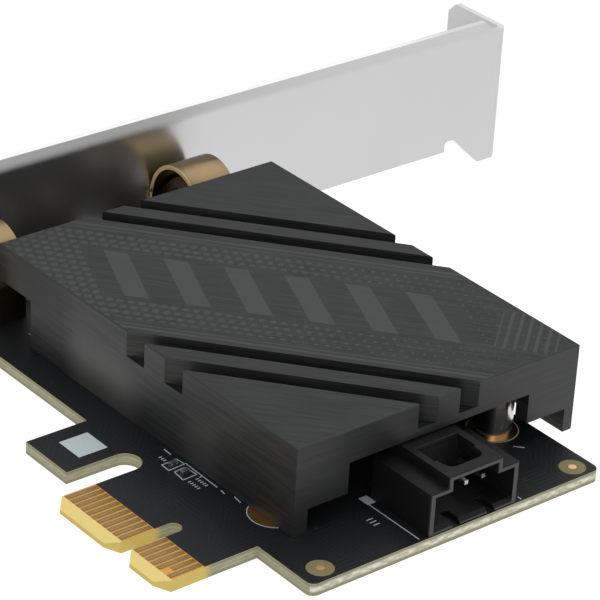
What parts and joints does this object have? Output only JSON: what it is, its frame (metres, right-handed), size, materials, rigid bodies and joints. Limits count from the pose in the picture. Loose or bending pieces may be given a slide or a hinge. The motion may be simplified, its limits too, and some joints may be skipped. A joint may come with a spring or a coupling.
{
  "type": "wireless network card",
  "caption": "PCI Express x1 wireless card: black board with keyed gold card edge, grooved anthracite heatsink block, cable header and bright full-height bracket with coaxial antenna jacks.",
  "frame": {"origin": "centre of the key notch of the card edge, at the finger tips, on the component surface of the board", "axes": "+X along the card edge away from the bracket, +Y from the finger tips towards the top edge of the card, +Z out of the component side"},
  "size_m": [0.0885, 0.12, 0.0216],
  "materials": {
    "solder_mask": "satin black mask",
    "gold_plate": "plated, satin",
    "pad_gold": "immersion gold",
    "anodised_aluminium": "brushed, anodised anthracite",
    "nickel_plate": "turned, plated",
    "screw_steel": "zinc plated",
    "module_mask": "satin mask",
    "shield_steel": "drawn, plated",
    "silicone_pad": "soft matte",
    "socket_plastic": "moulded",
    "tin_plate": "tinned",
    "spacer_brass": "turned",
    "plated_steel": "bright nickel plate",
    "jack_gold": "turned, gold plated",
    "white_dielectric": "turned",
    "plug_nickel": "stamped, plated",
    "cable_jacket": "extruded",
    "header_plastic": "moulded, satin",
    "pin_gold": "plated",
    "chip_ceramic": "fired"
  },
  "bodies": {
    "root": {"pcb": "solder_mask", "contacts_top": "gold_plate", "contacts_under": "gold_plate", "screw_pads": "pad_gold", "heatsink": "anodised_aluminium", "posts": "nickel_plate", "screws_front": "screw_steel", "screws_rear": "screw_steel", "module_board": "module_mask", "module_shield": "shield_steel", "heat_pad": "silicone_pad", "module_socket": "socket_plastic", "socket_feet": "tin_plate", "module_spacer": "spacer_brass", "module_screw": "screw_steel", "bracket": "plated_steel", "bracket_screws": "screw_steel", "jack_bodies": "jack_gold", "jack_insulators": "white_dielectric", "jack_pins": "jack_gold", "jack_washers": "jack_gold", "jack_nuts": "jack_gold", "jack_frames": "jack_gold", "module_receptacles": "gold_plate", "board_receptacles": "gold_plate", "module_plugs": "plug_nickel", "board_plugs": "plug_nickel", "jumper_upper": "cable_jacket", "jumper_lower": "cable_jacket", "header": "header_plastic", "header_pins": "pin_gold", "chips": "chip_ceramic", "chip_ends": "tin_plate"}
  },
  "joints": []
}
